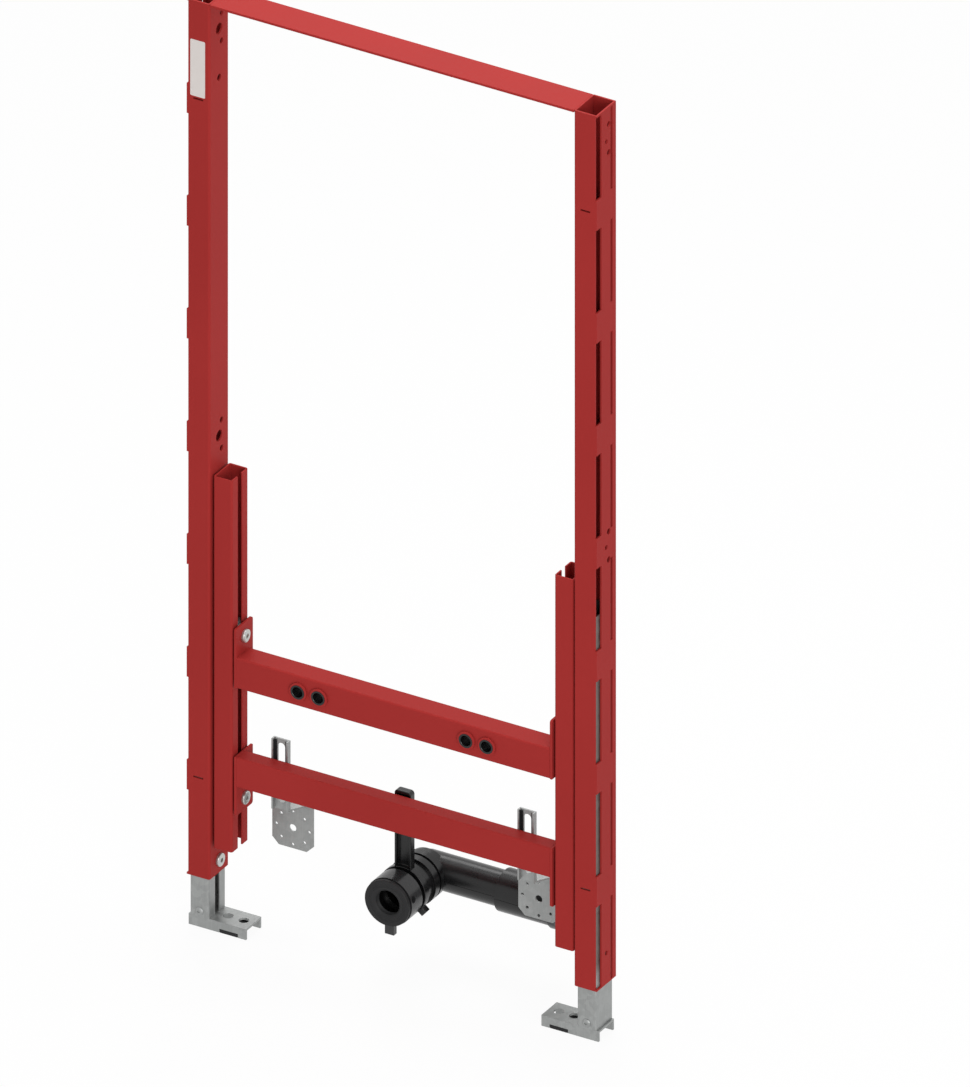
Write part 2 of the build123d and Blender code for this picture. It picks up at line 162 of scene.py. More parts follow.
def stretched(place, across, along):
    """Places scaled apart across and along Z, which draws round noise out into streaks."""
    scaling = {"operation": "MULTIPLY"}
    return place.node("ShaderNodeVectorMath", scaling, {0: place, 1: (across, across, along)})


def ramp(value, *stops):
    """Grey ramp through the given places and shades."""
    return value.node("ShaderNodeValToRGB", {"stops": stops}, {0: value})


def mixed(share, first, second):
    """Colour between two others; the Mix node keeps its colours in sockets 6 and 7."""
    return share.node("ShaderNodeMix", {"data_type": "RGBA"}, {0: share, 6: first, 7: second}, 2)


def bumped(height, strength, depth):
    """Normal of a surface whose relief is `depth` metres high."""
    inputs = {"Strength": strength, "Distance": depth, "Height": height}
    return height.node("ShaderNodeBump", {}, inputs)


def close_finish(material, place, **sockets):
    """Principled surface with these sockets; spaces in their names are written as underscores."""
    inputs = {name.replace("_", " "): value for name, value in sockets.items()}
    shader = place.node("ShaderNodeBsdfPrincipled", {}, inputs)
    place.node("ShaderNodeOutputMaterial", {}, {"Surface": shader})
    print("finish", material.name, "has", len(material.node_tree.nodes), "nodes")
    return material


print("a zinc grey of 150 is", round(linear(150, 150, 150)[0], 3), "in linear light")

# %% [markdown]
# ## Red powder coat
# The tubes are sprayed with dry powder and baked. The film flows a little before it sets, which
# leaves a fine orange peel of about a millimetre, and its thickness drifts from one end of a tube
# to the other. A flat red would look like plastic, so the colour follows a slow cloud, the gloss
# follows the cloud and the grain, and a bump gives the peel.

# %% Red powder coat
def red_powder_coat():
    material, place = new_finish("red_powder_coat")
    cloud = noise(place, 6.0, detail=3.0)
    peel = noise(place, 900.0)
    grain = noise(place, 3500.0)
    mix_share = 0.5 + 0.9 * (cloud - 0.5) + 0.35 * (peel - 0.5)
    return close_finish(
        material,
        place,
        Base_Color=mixed(mix_share, linear(146, 42, 40), linear(160, 48, 46)),
        Roughness=0.36 + 0.14 * cloud + 0.1 * (grain - 0.5),
        Normal=bumped(0.75 * peel + 0.25 * grain, 0.22, 0.15 * MM),
        Specular_IOR_Level=0.03,
    )


RED = red_powder_coat()

# %% [markdown]
# ## Galvanised sheet
# The feet and the water plates are cut from sheet that was dipped in zinc. As the zinc freezes it
# forms a spangle of flat crystals, each with its own grey and its own gloss, and the rolls that
# flatten the sheet leave faint streaks. Voronoi cells are the crystals: one random grey a cell. The
# foot channels get painted shade: their upper part, which sits in the post, turns darker as if the
# post shaded it, with a ragged edge that follows the height on the channel.

# %% Galvanised sheet
CRYSTAL_RAGGED = 4 * MM
# Heights on a foot channel where its painted shade begins and is full, and how ragged its edge is
SHADE_START = 72 * MM
SHADE_FULL = 92 * MM
SHADE_RAGGED = 6 * MM


def galvanised_sheet(name, shaded_above=False):
    """Spangled zinc, with optional painted shade on its upper part, where it sits in a post."""
    material, place = new_finish(name)
    push = place.node("ShaderNodeTexNoise", {}, {"Vector": place, "Scale": 260.0}, 1)
    reach = (CRYSTAL_RAGGED, CRYSTAL_RAGGED, CRYSTAL_RAGGED)
    ragged = place.node(
        "ShaderNodeVectorMath", {"operation": "MULTIPLY_ADD"}, {0: push, 1: reach, 2: place}
    )
    crystals = place.node("ShaderNodeTexVoronoi", {}, {"Vector": ragged, "Scale": 170.0}, "Color")
    crystal = place.node("ShaderNodeSeparateColor", {}, {0: crystals})
    streak = noise(stretched(place, 900.0, 25.0), 1.0)
    speck = noise(place, 2600.0)
    shade = 0.5 + 0.4 * (crystal - 0.5) + 0.5 * (streak - 0.5) + 0.25 * (speck - 0.5)
    colour = mixed(shade, linear(133, 135, 134), linear(169, 171, 170))
    # Painted shade: above a ragged height the colour turns a darker warm grey, where the post
    # shades it
    if shaded_above:
        height = place.node("ShaderNodeSeparateXYZ", {}, {0: place}, "Z")
        edge = height + SHADE_RAGGED * (streak - 0.5)
        mix_share = ramp(edge, (SHADE_START, 0.0), (SHADE_FULL, 1.0))
        painted_shade_colour = mixed(shade, linear(92, 86, 82), linear(122, 116, 112))
        colour = mixed(mix_share, colour, painted_shade_colour)
    return close_finish(
        material,
        place,
        Base_Color=colour,
        Metallic=0.72,
        Roughness=0.40 + 0.16 * crystal + 0.12 * (streak - 0.5),
        Normal=bumped(0.6 * crystal + 0.4 * speck, 0.12, 0.08 * MM),
    )


SHEET = galvanised_sheet("galvanised_sheet")
# This sheet, for the foot channels, carries painted shade on its upper part
SHADED_SHEET = galvanised_sheet("galvanised_sheet_painted_shade", shaded_above=True)

# %% [markdown]
# ## Bright zinc for the fasteners
# Clamp bolts, studs and their nuts are plated one by one and then passivated, so they are brighter
# and smoother than the sheet, with a faint straw and blue tint that wanders over each head.

# %% Bright zinc plating
def bright_zinc():
    material, place = new_finish("bright_zinc")
    tint = noise(place, 140.0, detail=3.0)
    scuff = noise(place, 1800.0, detail=4.0)
    cool = mixed(tint, linear(188, 194, 199), linear(206, 203, 192))
    return close_finish(
        material,
        place,
        Base_Color=mixed(0.35 * scuff, cool, linear(150, 150, 148)),
        Metallic=0.9,
        Roughness=0.24 + 0.2 * scuff,
        Normal=bumped(scuff, 0.08, 0.05 * MM),
    )


BRIGHT = bright_zinc()

# %% [markdown]
# ## Moulded plastic
# The elbow and its holder are moulded in black polythene. The mould is lightly eroded, which gives
# a fine even grain, and the melt leaves slow flow marks that show only in the gloss. The clamp ring
# is this plastic a little greyer: a painted reflection of the white ground. One function makes
# both.

# %% Moulded plastic, black and grey
def moulded_plastic(name, dark, pale, roughness):
    material, place = new_finish(name)
    grain = noise(place, 2400.0)
    flow = noise(stretched(place, 30.0, 90.0), 1.0, detail=3.0)
    handled = ramp(noise(place, 22.0, detail=4.0), (0.45, 0.0), (0.7, 1.0))
    return close_finish(
        material,
        place,
        Base_Color=mixed(0.5 * flow + 0.3 * handled, dark, pale),
        Roughness=roughness + 0.12 * flow + 0.08 * handled,
        Normal=bumped(grain, 0.1, 0.08 * MM),
        Specular_IOR_Level=0.4,
    )


PLASTIC = moulded_plastic("black_moulded_plastic", linear(9, 9, 10), linear(19, 19, 20), 0.18)
# The clamp's greyer copy of the black plastic is a painted reflection of the white ground
CLAMP_PLASTIC = moulded_plastic("clamp_plastic_painted_reflection", linear(34, 34, 35), linear(48, 48, 49), 0.2)

# %% [markdown]
# ## Rubber and label
# The seal is soft black rubber. It blooms: a grey haze comes to the surface in patches, which
# lightens the colour and kills the gloss. The label is white vinyl with nothing on it, a little
# warmer where the paper backing shows through.

# %% Sealing rubber and blank vinyl
def seal_rubber():
    material, place = new_finish("seal_rubber")
    bloom = ramp(noise(place, 60.0, detail=5.0), (0.35, 0.0), (0.75, 1.0))
    pores = noise(place, 2000.0, detail=3.0)
    return close_finish(
        material,
        place,
        Base_Color=mixed(0.7 * bloom + 0.2 * pores, linear(22, 22, 23), linear(40, 40, 41)),
        Roughness=0.52 + 0.2 * bloom,
        Normal=bumped(pores, 0.15, 0.08 * MM),
        Specular_IOR_Level=0.25,
    )


def blank_vinyl():
    material, place = new_finish("blank_vinyl")
    fibre = noise(place, 700.0, detail=4.0)
    ageing = noise(place, 45.0)
    return close_finish(
        material,
        place,
        Base_Color=mixed(0.6 * ageing + 0.3 * fibre, linear(213, 206, 202), linear(201, 194, 190)),
        Roughness=0.32 + 0.12 * fibre,
        Normal=bumped(fibre, 0.06, 0.05 * MM),
    )


RUBBER = seal_rubber()
VINYL = blank_vinyl()

# %% [markdown]
# ## Dressing the CAD pieces
# A CAD piece keeps its mesh, so it only gets a finish and modifiers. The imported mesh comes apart
# along its sharp edges, so a weld joins it and a planar decimate merges the flat triangles. Then a
# small bevel can round each edge as coating and bending do, and weighted normals keep the big faces
# flat. The bevel doesn't slide along loose edges, which would pull the rim of a hole out of round.
# A merged face with several holes can fold over itself, so the foot bases and nuts keep their
# triangles. The record says which slot each node belongs to, which picks the finish; the foot
# channels and the clamp ring have their own.

# %% Dress every CAD node
FINISH_OF_SLOT = {
    "red_powder_coat": RED,
    "zinc_plated_steel": SHEET,
    "black_plastic": PLASTIC,
    "black_rubber": RUBBER,
}
FINISH_OF_NODE = {
    "left_foot_channel": SHADED_SHEET,
    "right_foot_channel": SHADED_SHEET,
    "drain_clamp": CLAMP_PLASTIC,
}
EDGE_ROUND = {
    "red_powder_coat": 0.5 * MM,
    "zinc_plated_steel": 0.25 * MM,
    "black_plastic": 0.7 * MM,
    "black_rubber": 0.5 * MM,
}
JOIN_REACH = 0.005 * MM
FLAT_WITHIN = math.radians(1)
SHARP_FROM = math.radians(35)
EDGE_STEPS = 2
MANY_HOLES = ("foot_base", "nuts")


def dress(node, finish, edge_round):
    """Give one CAD node its finish and softly rounded edges."""
    piece = nodes[node]
    piece.data.materials.clear()
    piece.data.materials.append(finish)
    weld = piece.modifiers.new("join", "WELD")
    weld.merge_threshold = JOIN_REACH
    if not node.endswith(MANY_HOLES):
        flat = piece.modifiers.new("flat faces", "DECIMATE")
        flat.decimate_type = "DISSOLVE"
        flat.angle_limit = FLAT_WITHIN
    bevel = piece.modifiers.new("soft edges", "BEVEL")
    bevel.width = edge_round
    bevel.segments = EDGE_STEPS
    bevel.loop_slide = False
    bevel.limit_method = "ANGLE"
    bevel.angle_limit = SHARP_FROM
    normals = piece.modifiers.new("flat shading", "WEIGHTED_NORMAL")
    normals.keep_sharp = False


for entry in frame["record"]["subparts"]:
    node, slot = entry["node"], entry["material_slot"]
    dress(node, FINISH_OF_NODE.get(node, FINISH_OF_SLOT[slot]), EDGE_ROUND[slot])

# %% [markdown]
# ## Skins of rings
# Washers, bolt heads, rivets, threads and weld beads are all stacks of rings: rows of points joined
# by quads. Modelling them by hand or with primitives would give plain cylinders, so one helper
# makes the skin between rings, and each piece only says how its rings change. A hollow turned piece
# closes its stack on itself, a solid one gets two caps.

# %% Rings and skins
def skin(rings, closed=False):
    """Points and faces of a stack of rings with equal counts."""
    count = len(rings[0])
    points = [point for ring in rings for point in ring]
    faces = []
    for a in range(len(rings) if closed else len(rings) - 1):
        b = (a + 1) % len(rings)
        for i in range(count):
            j = (i + 1) % count
            faces.append((a * count + i, a * count + j, b * count + j, b * count + i))
    if not closed:
        faces.append(tuple(range(count)))
        faces.append(tuple(range(len(points) - count, len(points))))
    return points, faces


def turned(profile, steps=48):
    """Rings round the local Z axis, one for each (radius, height) of the profile."""
    angles = [2 * math.pi * i / steps for i in range(steps)]
    return [
        [Vector((radius * math.cos(a), radius * math.sin(a), height)) for a in angles]
        for radius, height in profile
    ]


def arc(radius, height, size, start, stop, steps=6):
    """Profile points on a round corner, its angles in degrees from the radial direction."""
    turns = [math.radians(start + (stop - start) * i / steps) for i in range(steps + 1)]
    return [(radius + size * math.cos(t), height + size * math.sin(t)) for t in turns]


def placed(shape, origin, direction):
    """Move a shape so that its local Z axis leaves origin in that direction."""
    points, faces = shape
    turn = Vector(direction).to_track_quat("Z", "Y").to_matrix()
    return [origin + turn @ point for point in points], faces


print("a turned ring has", len(turned([(1.0, 0.0)])[0]), "points")

# %% [markdown]
# ## Pieces that ride on a body
# A new piece is one mesh of several closed shapes. Its faces are turned outwards, round forms shade
# smoothly and edges stay crisp. It then rides on the body that carries it, so that it moves with
# the traverse or the post it is fixed to, and it gets its finish.

# %% From shapes to a piece
SMOOTH_BELOW = 35


def new_piece(name, shapes, finish, body, smooth=SMOOTH_BELOW):
    """One mesh object from several closed shapes; `smooth` is the angle of its soft edges."""
    points, faces = [], []
    for shape_points, shape_faces in shapes:
        start = len(points)
        points += shape_points
        faces += [[start + i for i in face] for face in shape_faces]
    mesh = bpy.data.meshes.new(name)
    mesh.from_pydata(points, [], faces)
    work = bmesh.new()
    work.from_mesh(mesh)
    bmesh.ops.recalc_face_normals(work, faces=work.faces)
    work.to_mesh(mesh)
    work.free()
    mesh.shade_smooth()
    mesh.set_sharp_from_angle(angle=math.radians(smooth))
    mesh.materials.append(finish)
    piece = bpy.data.objects.new(name, mesh)
    bpy.context.scene.collection.objects.link(piece)
    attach(piece, body)
    print(name, "rides on", body, "with", len(mesh.polygons), "faces")
    return piece


print("edges under", SMOOTH_BELOW, "degrees shade smoothly")

# %% [markdown]
# ## Washers and hex nuts
# A washer is punched from sheet, so its rims are a little round. A hex nut is turned before it is
# used: a cone cuts its corners, which leaves the curved chamfer that every nut has. So its radius
# follows the hexagon, and the height of its side follows the cone.

# %% Washer and hex nut
BOLT_RADIUS = 4.0 * MM
HEX_ACROSS_FLATS = 13.0 * MM
WASHER_RADIUS = 8.0 * MM
WASHER_THICKNESS = 1.6 * MM
WASHER_RIM = 0.35 * MM
WASHER_OVERLAP = 0.1 * MM
CONE_SHARE = 0.96
CHAMFER_SLOPE = math.tan(math.radians(30))


def washer(bottom):
    """Punched washer with rounded rims, its hole filled by the bolt."""
    top = bottom + WASHER_THICKNESS
    inner = BOLT_RADIUS - WASHER_OVERLAP
    rim_radius = WASHER_RADIUS - WASHER_RIM
    profile = [(inner, bottom), (inner, top)]
    profile += arc(rim_radius, top - WASHER_RIM, WASHER_RIM, 90, 0, 3)
    profile += arc(rim_radius, bottom + WASHER_RIM, WASHER_RIM, 0, -90, 3)
    return skin(turned(profile), closed=True)


def hexagon(turn, across_flats):
    """Radius of a hexagon in the direction of an angle."""
    from_flat = (turn + math.pi / 6) % (math.pi / 3) - math.pi / 6
    return across_flats / 2 / math.cos(from_flat)


def stacked(stack_at, steps=72):
    """Skin whose (radius, height) stack depends on the angle."""
    columns = []
    for i in range(steps):
        turn = 2 * math.pi * i / steps
        across, up = math.cos(turn), math.sin(turn)
        columns.append([Vector((r * across, r * up, z)) for r, z in stack_at(turn)])
    return skin([list(ring) for ring in zip(*columns)])


def hex_nut(bottom, height):
    """Hex nut with coned corners at both ends."""
    cone = CONE_SHARE * HEX_ACROSS_FLATS / 2

    def stack(turn):
        radius = hexagon(turn, HEX_ACROSS_FLATS)
        drop = (radius - cone) * CHAMFER_SLOPE
        top = bottom + height
        return (cone, bottom), (radius, bottom + drop), (radius, top - drop), (cone, top)
    return stacked(stack)


corner_reach = hexagon(math.pi / 6, HEX_ACROSS_FLATS)
print("corners of a nut reach", round(corner_reach / MM, 2), "mm from its axis")

# %% [markdown]
# ## Bolt heads and threads
# The clamp bolts have low round heads with a hex socket, so their inner rings follow the hexagon
# and their outer rings a circle. A thread is a cylinder whose radius swings once a pitch and once a
# turn, which winds it into a helix without any spiral modelling.

# %% Socket head and thread
SOCKET_ACROSS_FLATS = 5.0 * MM
SOCKET_FLOOR_SHARE = 0.4
SOCKET_LEAD_IN = 0.4 * MM
SOCKET_LEAD_DROP = 0.3 * MM
HEAD_FLAT_SHARE = 0.62
HEAD_RIM = 0.8 * MM
HEAD_DOME = 0.4 * MM
HEAD_UNDERCUT = 0.2 * MM
HEAD_UNDERCUT_RISE = 0.3 * MM
THREAD_PITCH = 1.25 * MM
THREAD_DEPTH = 0.6 * MM
ROWS_A_PITCH = 8


def socket_head(radius, height):
    """Low domed bolt head with a hex socket."""
    def stack(turn):
        socket = hexagon(turn, SOCKET_ACROSS_FLATS)
        bore = [
            (socket, SOCKET_FLOOR_SHARE * height),
            (socket, height - SOCKET_LEAD_DROP),
            (socket + SOCKET_LEAD_IN, height),
        ]
        dome = [(HEAD_FLAT_SHARE * radius, height)]
        dome += arc(radius - HEAD_RIM, height - HEAD_RIM - HEAD_DOME, HEAD_RIM, 75, 0, 4)
        return bore + dome + [(radius, HEAD_UNDERCUT_RISE), (radius - HEAD_UNDERCUT, 0.0)]
    return stacked(stack)


def threaded_rod(start, stop, steps=24):
    """Helical thread from one height to another, tapered at its free end."""
    rows = max(ROWS_A_PITCH, round(abs(stop - start) / THREAD_PITCH * ROWS_A_PITCH))
    rings = []
    for k in range(rows + 1):
        height = start + (stop - start) * k / rows
        taper = min(1.0, abs(stop - height) / THREAD_PITCH)
        ring = []
        for i in range(steps):
            turn = i / steps
            swing = abs(2 * ((height / THREAD_PITCH + turn) % 1.0) - 1)
            radius = BOLT_RADIUS - THREAD_DEPTH * (1 - taper * swing)
            angle = 2 * math.pi * turn
            ring.append(Vector((radius * math.cos(angle), radius * math.sin(angle), height)))
        rings.append(ring)
    return skin(rings)


print("thread turns in 20 mm:", round(20 * MM / THREAD_PITCH))

# %% [markdown]
# ## Clamp bolts
# One bolt a side clamps each traverse to its rail, and one each foot in its post. The CAD bolts are
# plain, so a detailed pair replaces each node. The seat of a head is the inner face of the sheet it
# presses on, and the CAD box says how far the shank reaches.

# %% Three pairs of clamp bolts
HEAD_HEIGHT = 3.5 * MM
ROD_IN_HEAD = 0.5 * MM
CRISP_BELOW = 30


def clamp_bolt_pair(name, node, sheet, body):
    """Detailed bolts on both sides, in place of a CAD node."""
    low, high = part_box(node)
    centre = (low + high) / 2
    head_radius = (high.z - low.z) / 2
    shapes = []
    for side_name, side in SIDES:
        seat_x = min(abs(corner.x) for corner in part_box(sheet.format(side_name)))
        seat = Vector((side * seat_x, centre.y, centre.z))
        inward = (-side, 0, 0)
        reach = high.x - seat_x
        shapes.append(placed(socket_head(head_radius, HEAD_HEIGHT), seat, inward))
        shapes.append(placed(threaded_rod(ROD_IN_HEAD, -reach), seat, inward))
    pair = new_piece(name, shapes, BRIGHT, body, CRISP_BELOW)
    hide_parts(node)


clamp_bolt_pair("foot_clamp_bolts", "foot_bolts", "{}_post", "frame")
clamp_bolt_pair("upper_clamp_bolts", "upper_bolts", "upper_{}_plate", "upper_traverse")
clamp_bolt_pair("lower_clamp_bolts", "lower_bolts", "lower_{}_plate", "lower_traverse")

# %% [markdown]
# ## Rivets of the feet
# Each foot channel is riveted to the tongues of its base, front and back. A blind rivet has a low
# domed flange and a small crater where its mandrel snapped off, and that crater catches the light.
# The flange touches the channel, so it is placed on the channel's front and back faces. Its zinc is
# as dull as the sheet's.

# %% Blind rivets
RIVET_RISE = 7.0 * MM
RIVET_RADIUS = 4.7 * MM
RIVET_EDGE = 0.3 * MM
RIVET_SEAT = 4.6 * MM
CRATER = ((0.01, 0.9), (1.3, 1.0), (1.5, 1.9))
DOME = ((2.2, 2.05), (3.4, 1.75), (4.4, 1.05))


def in_mm(points):
    """Profile points from pairs of a radius and a height in millimetres."""
    return [(radius * MM, height * MM) for radius, height in points]


def blind_rivet():
    edge = arc(RIVET_RADIUS, RIVET_EDGE, RIVET_EDGE, 60, -60, 3)
    profile = in_mm(CRATER) + in_mm(DOME) + edge + [(RIVET_SEAT, 0.0)]
    return skin(turned(profile, steps=40))


rivets = []
for side_name, _ in SIDES:
    low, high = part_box(f"{side_name}_foot_channel")
    for y, way in ((low.y, -1), (high.y, 1)):
        seat = Vector(((low.x + high.x) / 2, y, low.z + RIVET_RISE))
        rivets.append(placed(blind_rivet(), seat, (0, way, 0)))
new_piece("foot_rivets", rivets, SHEET, "feet")

# %% [markdown]
# ## Studs of the water brackets
# Behind the lower traverse a stud passes the long slot of each bracket, with a washer and a nut.
# The slot lets a fitter set the plate higher or lower before tightening. Only the stud's last turns
# show, but they are what tells a real fastener from a peg.

# %% Stud, washer and nut behind each bracket
STEM_DEPTH = 6.0 * MM
NUT_HEIGHT = 6.5 * MM
STUD_PAST_NUT = 3.0 * MM

beam_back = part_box("lower_beam")[1].y
studs = []
for side_name, _ in SIDES:
    foot = Vector((middle(f"{side_name}_water_bracket").x, beam_back, middle("lower_beam").z))
    nut_seat = STEM_DEPTH + WASHER_THICKNESS
    stud_end = nut_seat + NUT_HEIGHT + STUD_PAST_NUT
    studs.append(placed(washer(STEM_DEPTH), foot, (0, 1, 0)))
    studs.append(placed(hex_nut(nut_seat, NUT_HEIGHT), foot, (0, 1, 0)))
    studs.append(placed(threaded_rod(0.0, stud_end), foot, (0, 1, 0)))
new_piece("bracket_studs", studs, BRIGHT, "lower_traverse", CRISP_BELOW)

# %% [markdown]
# ## Dark angles in the stems
# In the photograph the channel of each stem is dark on both sides of its slot, and that dark is
# shade. A thin black rubber angle lines each corner of the channel and paints the shade. An angle
# is an L of six points in plan, drawn up along the slot.

# %% Black angles beside the slots, painted shade
STEM_INNER_HALF = 8.0 * MM
SLOT_HALF = 4.5 * MM
STEM_SHEET = 2.0 * MM
ANGLE_THICKNESS = 0.6 * MM
ANGLE_BOTTOM = 172.0 * MM
ANGLE_TOP_MARGIN = 2.0 * MM

web_y = beam_back + STEM_DEPTH - STEM_SHEET
lip_y = beam_back + ANGLE_THICKNESS
angle_plan = (
    (SLOT_HALF + ANGLE_THICKNESS, web_y),
    (STEM_INNER_HALF, web_y),
    (STEM_INNER_HALF, lip_y),
    (STEM_INNER_HALF - ANGLE_THICKNESS, lip_y),
    (STEM_INNER_HALF - ANGLE_THICKNESS, web_y - ANGLE_THICKNESS),
    (SLOT_HALF + ANGLE_THICKNESS, web_y - ANGLE_THICKNESS),
)
# Painted shade: dark rubber angles darken the stem channels beside their slots
angles = []
for side_name, _ in SIDES:
    stem_x = middle(f"{side_name}_water_bracket").x
    stem_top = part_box(f"{side_name}_water_bracket")[1].z
    for way in (-1, 1):
        angles.append(skin([
            [Vector((stem_x + way * x, y, z)) for x, y in angle_plan]
            for z in (ANGLE_BOTTOM, stem_top - ANGLE_TOP_MARGIN)
        ]))
new_piece("stem_shade_angles", angles, RUBBER, "lower_traverse")

# %% [markdown]
# ## Rubber seal
# The bidet's waste spigot is pushed into this seal. Its front is a rounded flange, and inside it
# two soft lips lean inwards and grip the pipe. A lathe profile fits: every point is a radius and a
# depth behind the front face. The lips leave the bore that the CAD solid has.

# %% Seal with its lips
SEAL_SLEEVE = 20.8 * MM
SEAL_BACK = 16.8 * MM
SEAL_BORE = 14.0 * MM
SEAL_FLANGE = 4.0 * MM
SEAL_RIM = 1.5 * MM
LIP_ROUND = 0.6 * MM
LIP_DEPTHS = (3.1 * MM, 8.7 * MM)
FRONT_GROOVE = ((22.0, 0.0), (21.4, 0.5), (19.6, 0.5), (19.0, 0.0))
FUNNEL = ((17.6, 0.1), (14.4, 2.4))
BETWEEN_LIPS = ((16.4, 5.0), (16.4, 5.8), (14.5, 8.0))


def lip_edge(depth):
    """Round edge of a lip, turned to the axis."""
    return arc(SEAL_BORE + LIP_ROUND, depth, LIP_ROUND, 230, 150, 4)


def sealing_ring(outer, length):
    profile = [(outer, SEAL_FLANGE)] + arc(outer - SEAL_RIM, SEAL_RIM, SEAL_RIM, 0, -90)
    profile += in_mm(FRONT_GROOVE) + in_mm(FUNNEL) + lip_edge(LIP_DEPTHS[0])
    profile += in_mm(BETWEEN_LIPS) + lip_edge(LIP_DEPTHS[1])
    profile += [(SEAL_BACK, length), (SEAL_SLEEVE, length), (SEAL_SLEEVE, SEAL_FLANGE)]
    return skin(turned(profile, steps=96), closed=True)


seal_low, seal_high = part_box("drain_seal")
seal_face = Vector((middle("drain_seal").x, seal_low.y, middle("drain_seal").z))
seal_shape = sealing_ring((seal_high.x - seal_low.x) / 2, seal_high.y - seal_low.y)
seal_shapes = [placed(seal_shape, seal_face, (0, 1, 0))]
seal = new_piece("waste_seal", seal_shapes, RUBBER, "lower_traverse")
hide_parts("drain_seal")

# %% [markdown]
# ## Liners of the rod bushes
# The rods of the bidet pass four red bushes. Each bush gets a black plastic liner that paints the
# shade deep in its bore: a thin sleeve in the bore with a flat rim on the bush's face. Three radii
# and two depths describe it, so it is a lathe piece too.

# %% Plastic liners in the bushes
ROD_SPACINGS = (180.0 * MM, 230.0 * MM)
LINER_BORE = 6.15 * MM
LINER_OUTER = 6.45 * MM
LINER_RIM = 8.3 * MM
LINER_RIM_THICKNESS = 0.4 * MM
LINER_ROUND = 0.3 * MM


def rod_liner(length):
    mouth = -LINER_RIM_THICKNESS
    profile = [(LINER_BORE, mouth + LINER_ROUND), (LINER_BORE + LINER_ROUND, mouth)]
    profile += arc(LINER_RIM - LINER_ROUND, mouth / 2, LINER_ROUND, -90, 0, 3)
    profile += [(LINER_RIM, 0.0), (LINER_OUTER, 0.0), (LINER_OUTER, length), (LINER_BORE, length)]
    return skin(turned(profile), closed=True)


bush_low, bush_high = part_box("rod_bushes")
# Painted shade: the black liners darken the bores of the bushes
liners = []
for spacing in ROD_SPACINGS:
    for _, side in SIDES:
        face = Vector((side * spacing / 2, bush_low.y, middle("rod_bushes").z))
        liners.append(placed(rod_liner(bush_high.y - bush_low.y), face, (0, 1, 0)))
new_piece("rod_shade_liners", liners, PLASTIC, "upper_traverse")

# %% [markdown]
# ## Dark blocks in the notches of the feet
# A dark strip shows in the notch of each foot, and it is the shade under the foot. A short block
# of black rubber with round corners paints that shade: it is pushed into the notch from outside,
# so that the floor holes behind it stay free.

# %% Rubber blocks in the notches, painted shade
NOTCH_FROM_END = 10.0 * MM
NOTCH_LENGTH = 22.5 * MM
NOTCH_HEIGHT = 4.5 * MM
BLOCK_PLAY = 0.3 * MM
BLOCK_HEIGHT = NOTCH_HEIGHT - BLOCK_PLAY
BLOCK_DEPTH = 5.0 * MM
BLOCK_CORNER = 0.6 * MM


def rounded_outline(width, height, corner, steps=5):
    """Outline round the origin in local X and Y, its corners as arcs."""
    outline = []
    for quarter, (sx, sy) in enumerate(((1, 1), (-1, 1), (-1, -1), (1, -1))):
        for i in range(steps + 1):
            turn = math.pi / 2 * (quarter + i / steps)
            outline.append((sx * (width / 2 - corner) + corner * math.cos(turn),
                            sy * (height / 2 - corner) + corner * math.sin(turn)))
    return outline


shade_block_outline = rounded_outline(NOTCH_LENGTH - 2 * BLOCK_PLAY, BLOCK_HEIGHT, BLOCK_CORNER)
# Painted shade: dark rubber blocks fill the notches where shade falls under each foot
shade_blocks = []
for side_name, side in SIDES:
    low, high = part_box(f"{side_name}_foot_base")
    inner_x = min(abs(low.x), abs(high.x))
    block_x = side * (inner_x + NOTCH_FROM_END + NOTCH_LENGTH / 2)
    for face_y, inward in ((low.y, 1), (high.y, -1)):
        ends = (face_y + inward * BLOCK_PLAY, face_y + inward * BLOCK_DEPTH)
        shade_blocks.append(skin([
            [Vector((block_x + x, y, BLOCK_HEIGHT / 2 + z)) for x, z in shade_block_outline] for y in ends
        ]))
new_piece("foot_notch_shade_blocks", shade_blocks, RUBBER, "feet")

# %% [markdown]
# ## Weld beads
# The traverses are welded to their end plates and the top bar to the posts before painting. The
# visible edges are ground flush, so the beads lie at the back of the beams and under them. A bead
# is a fillet with ripples, one for each step of the torch, under the same red coat.

# %% Fillet welds under the coat
BEAD_LEG = 3.0 * MM
RIPPLE = 2.2 * MM
RIPPLE_DEPTH = 0.14
BEAD_STEPS_A_RIPPLE = 6
BEAD_ARC_STEPS = 6
BEAD_HOLLOW = 0.18
BEAD_SINK = 0.2 * MM
BEAD_END_SHARE = 0.35
BEAD_END_SLOPE = 6
BEAM_WELD_INSET = 4.0 * MM
BAR_WELD_INSET = 5.0 * MM
BEAD_SMOOTH_BELOW = 60


def weld_bead(start, end, wall_a, wall_b):
    """Rippled fillet from start to end in the corner that two directions leave open."""
    start, end = Vector(start), Vector(end)
    wall_a, wall_b = Vector(wall_a), Vector(wall_b)
    length = (end - start).length
    rows = round(length / RIPPLE * BEAD_STEPS_A_RIPPLE)
    rings = []
    for k in range(rows + 1):
        share = k / rows
        ripple = 1 - RIPPLE_DEPTH * (1 - abs(math.sin(math.pi * share * length / RIPPLE)))
        ending = min(1.0, BEAD_END_SHARE + BEAD_END_SLOPE * min(share, 1 - share))
        leg = BEAD_LEG * ripple * ending
        place = start.lerp(end, share)
        ring = [place - BEAD_SINK * (wall_a + wall_b)]
        for i in range(BEAD_ARC_STEPS + 1):
            lean = math.pi / 2 * i / BEAD_ARC_STEPS
            swell = 1 - BEAD_HOLLOW * (1 - abs(math.cos(2 * lean)))
            ring.append(place + leg * swell * (math.cos(lean) * wall_a + math.sin(lean) * wall_b))
        rings.append(ring)
    return skin(rings)


